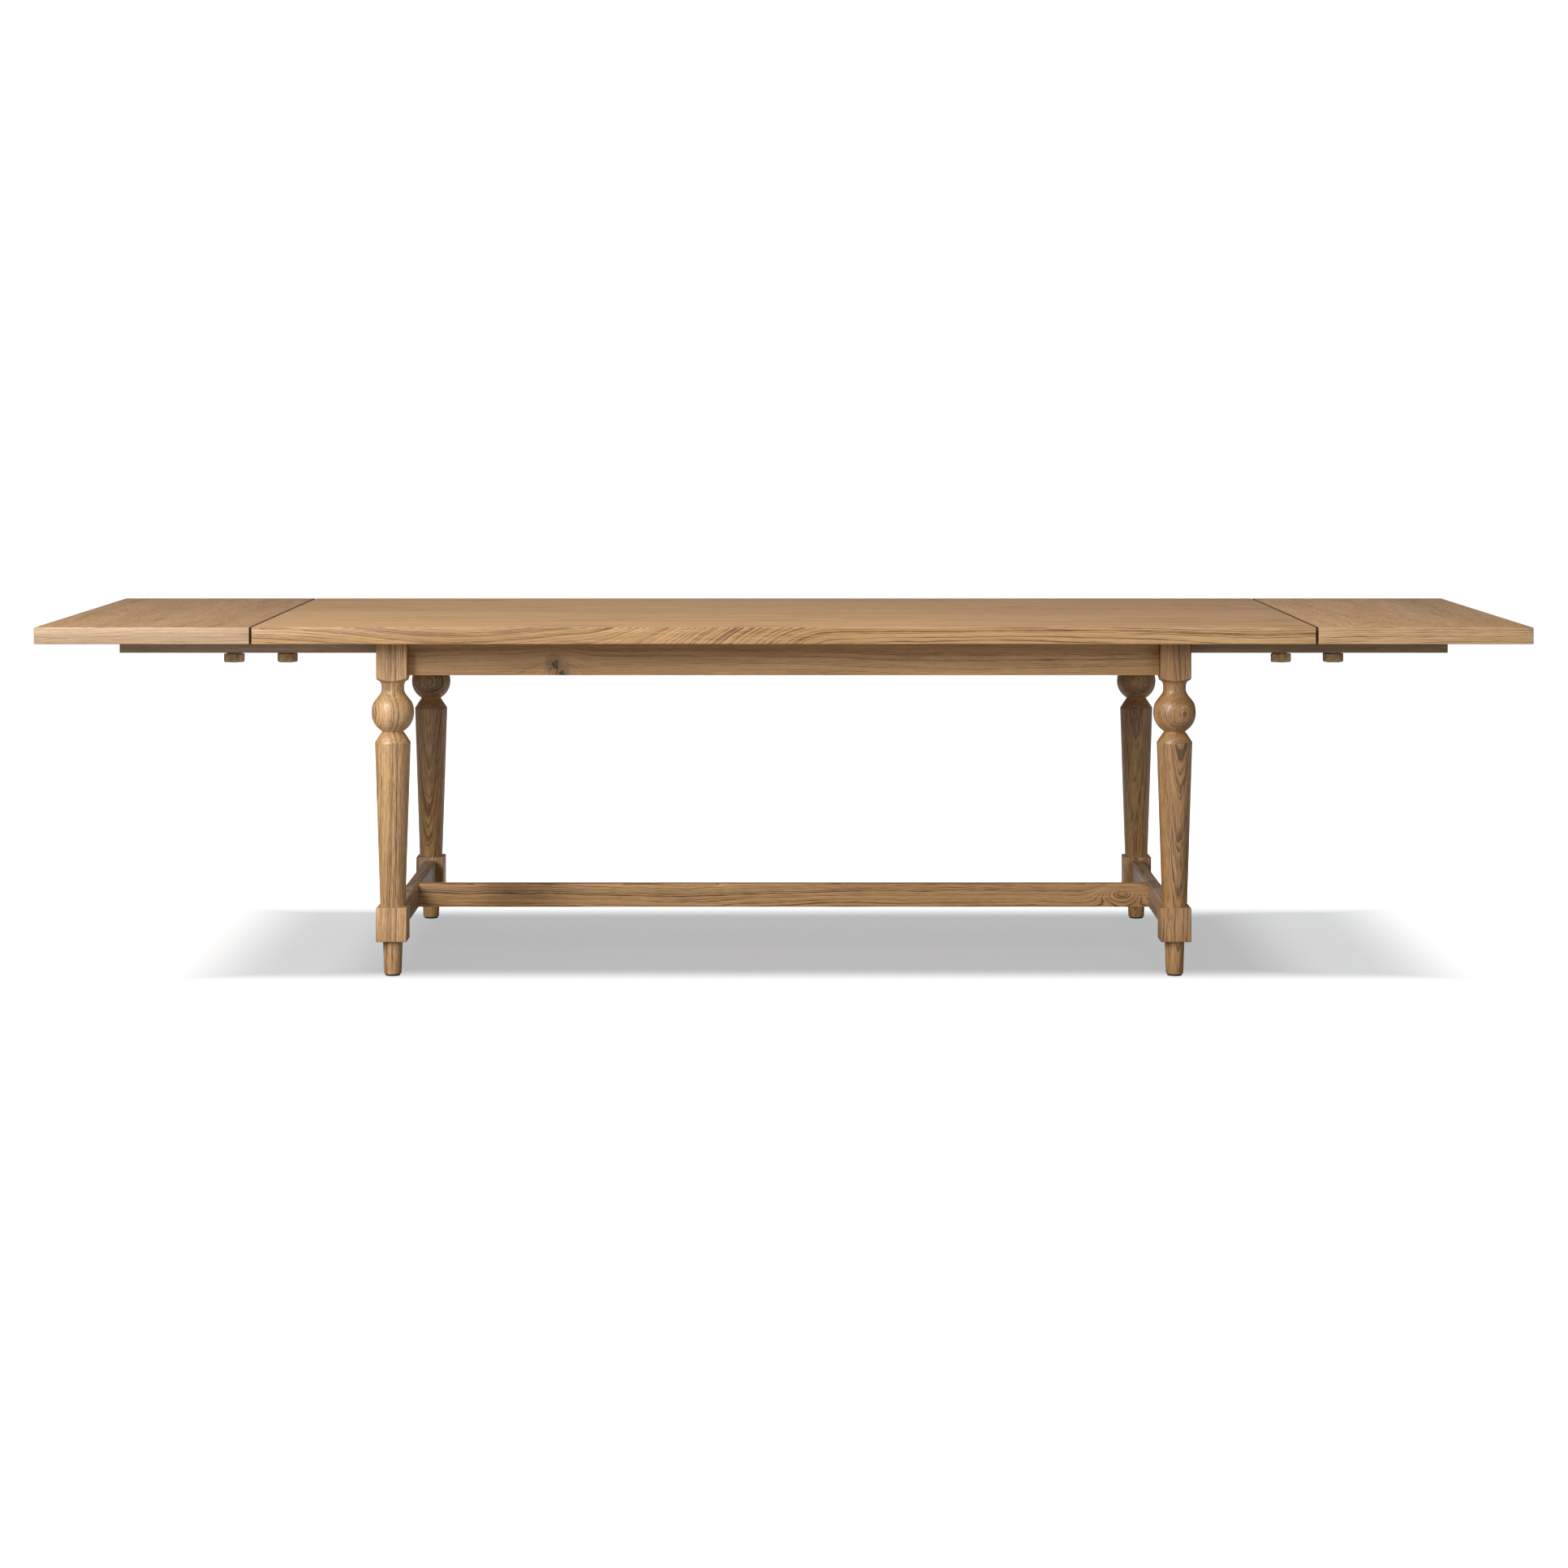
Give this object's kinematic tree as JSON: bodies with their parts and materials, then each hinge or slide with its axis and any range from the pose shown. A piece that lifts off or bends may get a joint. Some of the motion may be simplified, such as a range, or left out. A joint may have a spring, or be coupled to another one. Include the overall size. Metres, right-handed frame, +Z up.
{
  "type": "extendable dining table",
  "caption": "Long oak dining table on turned legs with an H stretcher, pull-out slide rails and removable end leaves held by lobed clamping knobs.",
  "frame": {"origin": "on the floor under the middle of the table", "axes": "+X along the table's length to the right seen from the front, +Y from the front edge to the back, +Z up"},
  "size_m": [3.2, 1.067, 0.76],
  "materials": {
    "oak_top": "satin clear finish",
    "oak_frame": "satin clear finish",
    "oak_rail": "matt",
    "knob": "satin stained",
    "steel": "zinc plated",
    "glide": "matt"
  },
  "bodies": {
    "base": {"main_top": "oak_top", "leg_front_left": "oak_frame", "leg_back_left": "oak_frame", "leg_front_right": "oak_frame", "leg_back_right": "oak_frame", "foot_glide_front_left": "glide", "foot_glide_back_left": "glide", "foot_glide_front_right": "glide", "foot_glide_back_right": "glide", "apron_front": "oak_frame", "apron_back": "oak_frame", "apron_left": "oak_frame", "apron_right": "oak_frame", "brace_left": "oak_frame", "brace_right": "oak_frame", "corner_block_front_left": "oak_frame", "corner_block_back_left": "oak_frame", "corner_block_front_right": "oak_frame", "corner_block_back_right": "oak_frame", "corner_bolt_front_left": "steel", "corner_bolt_back_left": "steel", "corner_bolt_front_right": "steel", "corner_bolt_back_right": "steel", "stretcher_left": "oak_frame", "stretcher_right": "oak_frame", "stretcher_centre": "oak_frame"},
    "leaf_left": {"leaf_left": "oak_top", "leaf_pin_front_left": "oak_frame", "leaf_pin_back_left": "oak_frame"},
    "leaf_right": {"leaf_right": "oak_top", "leaf_pin_front_right": "oak_frame", "leaf_pin_back_right": "oak_frame"},
    "slide_rail_front_left": {"slide_rail_front_left": "oak_rail"},
    "slide_rail_back_left": {"slide_rail_back_left": "oak_rail"},
    "slide_rail_front_right": {"slide_rail_front_right": "oak_rail"},
    "slide_rail_back_right": {"slide_rail_back_right": "oak_rail"},
    "top_washer_front_left": {"top_washer_front_left": "steel"},
    "top_knob_front_left": {"top_knob_front_left": "knob", "top_stud_front_left": "steel"},
    "top_washer_back_left": {"top_washer_back_left": "steel"},
    "top_knob_back_left": {"top_knob_back_left": "knob", "top_stud_back_left": "steel"},
    "top_washer_front_right": {"top_washer_front_right": "steel"},
    "top_knob_front_right": {"top_knob_front_right": "knob", "top_stud_front_right": "steel"},
    "top_washer_back_right": {"top_washer_back_right": "steel"},
    "top_knob_back_right": {"top_knob_back_right": "knob", "top_stud_back_right": "steel"},
    "leaf_washer_front_left": {"leaf_washer_front_left": "steel"},
    "leaf_knob_front_left": {"leaf_knob_front_left": "knob", "leaf_stud_front_left": "steel"},
    "leaf_washer_back_left": {"leaf_washer_back_left": "steel"},
    "leaf_knob_back_left": {"leaf_knob_back_left": "knob", "leaf_stud_back_left": "steel"},
    "leaf_washer_front_right": {"leaf_washer_front_right": "steel"},
    "leaf_knob_front_right": {"leaf_knob_front_right": "knob", "leaf_stud_front_right": "steel"},
    "leaf_washer_back_right": {"leaf_washer_back_right": "steel"},
    "leaf_knob_back_right": {"leaf_knob_back_right": "knob", "leaf_stud_back_right": "steel"}
  },
  "joints": [
    {"name": "leaf_left_slide", "type": "slide", "parent": "base", "child": "leaf_left", "axis": [-1, 0, 0], "range_m": [0, 0.35]},
    {"name": "leaf_right_slide", "type": "slide", "parent": "base", "child": "leaf_right", "axis": [1, 0, 0], "range_m": [0, 0.35]},
    {"name": "slide_rail_front_left_slide", "type": "slide", "parent": "base", "child": "slide_rail_front_left", "axis": [1, 0, 0], "range_m": [0, 0.34]},
    {"name": "slide_rail_back_left_slide", "type": "slide", "parent": "base", "child": "slide_rail_back_left", "axis": [1, 0, 0], "range_m": [0, 0.34]},
    {"name": "slide_rail_front_right_slide", "type": "slide", "parent": "base", "child": "slide_rail_front_right", "axis": [-1, 0, 0], "range_m": [0, 0.34]},
    {"name": "slide_rail_back_right_slide", "type": "slide", "parent": "base", "child": "slide_rail_back_right", "axis": [-1, 0, 0], "range_m": [0, 0.34]},
    {"name": "top_screw_front_left", "type": "slide", "parent": "base", "child": "top_washer_front_left", "axis": [0, 0, -1], "range_m": [0, 0.005]},
    {"name": "top_knob_turn_front_left", "type": "hinge", "parent": "top_washer_front_left", "child": "top_knob_front_left", "pos_m": [-1.083, -0.3615, 0.69], "axis": [0, 0, -1], "range_deg": [0, 1440]},
    {"name": "top_screw_back_left", "type": "slide", "parent": "base", "child": "top_washer_back_left", "axis": [0, 0, -1], "range_m": [0, 0.005]},
    {"name": "top_knob_turn_back_left", "type": "hinge", "parent": "top_washer_back_left", "child": "top_knob_back_left", "pos_m": [-1.083, 0.3615, 0.69], "axis": [0, 0, -1], "range_deg": [0, 1440]},
    {"name": "top_screw_front_right", "type": "slide", "parent": "base", "child": "top_washer_front_right", "axis": [0, 0, -1], "range_m": [0, 0.005]},
    {"name": "top_knob_turn_front_right", "type": "hinge", "parent": "top_washer_front_right", "child": "top_knob_front_right", "pos_m": [1.083, -0.3615, 0.69], "axis": [0, 0, -1], "range_deg": [0, 1440]},
    {"name": "top_screw_back_right", "type": "slide", "parent": "base", "child": "top_washer_back_right", "axis": [0, 0, -1], "range_m": [0, 0.005]},
    {"name": "top_knob_turn_back_right", "type": "hinge", "parent": "top_washer_back_right", "child": "top_knob_back_right", "pos_m": [1.083, 0.3615, 0.69], "axis": [0, 0, -1], "range_deg": [0, 1440]},
    {"name": "leaf_screw_front_left", "type": "slide", "parent": "leaf_left", "child": "leaf_washer_front_left", "axis": [0, 0, -1], "range_m": [0, 0.005]},
    {"name": "leaf_knob_turn_front_left", "type": "hinge", "parent": "leaf_washer_front_left", "child": "leaf_knob_front_left", "pos_m": [-1.198, -0.3615, 0.69], "axis": [0, 0, -1], "range_deg": [0, 1440]},
    {"name": "leaf_screw_back_left", "type": "slide", "parent": "leaf_left", "child": "leaf_washer_back_left", "axis": [0, 0, -1], "range_m": [0, 0.005]},
    {"name": "leaf_knob_turn_back_left", "type": "hinge", "parent": "leaf_washer_back_left", "child": "leaf_knob_back_left", "pos_m": [-1.198, 0.3615, 0.69], "axis": [0, 0, -1], "range_deg": [0, 1440]},
    {"name": "leaf_screw_front_right", "type": "slide", "parent": "leaf_right", "child": "leaf_washer_front_right", "axis": [0, 0, -1], "range_m": [0, 0.005]},
    {"name": "leaf_knob_turn_front_right", "type": "hinge", "parent": "leaf_washer_front_right", "child": "leaf_knob_front_right", "pos_m": [1.198, -0.3615, 0.69], "axis": [0, 0, -1], "range_deg": [0, 1440]},
    {"name": "leaf_screw_back_right", "type": "slide", "parent": "leaf_right", "child": "leaf_washer_back_right", "axis": [0, 0, -1], "range_m": [0, 0.005]},
    {"name": "leaf_knob_turn_back_right", "type": "hinge", "parent": "leaf_washer_back_right", "child": "leaf_knob_back_right", "pos_m": [1.198, 0.3615, 0.69], "axis": [0, 0, -1], "range_deg": [0, 1440]}
  ],
  "couplings": [
    {"joint": "top_screw_front_left", "follows": "top_knob_turn_front_left", "m_per_rad": 0.0001989},
    {"joint": "top_screw_back_left", "follows": "top_knob_turn_back_left", "m_per_rad": 0.0001989},
    {"joint": "top_screw_front_right", "follows": "top_knob_turn_front_right", "m_per_rad": 0.0001989},
    {"joint": "top_screw_back_right", "follows": "top_knob_turn_back_right", "m_per_rad": 0.0001989},
    {"joint": "leaf_screw_front_left", "follows": "leaf_knob_turn_front_left", "m_per_rad": 0.0001989},
    {"joint": "leaf_screw_back_left", "follows": "leaf_knob_turn_back_left", "m_per_rad": 0.0001989},
    {"joint": "leaf_screw_front_right", "follows": "leaf_knob_turn_front_right", "m_per_rad": 0.0001989},
    {"joint": "leaf_screw_back_right", "follows": "leaf_knob_turn_back_right", "m_per_rad": 0.0001989}
  ]
}
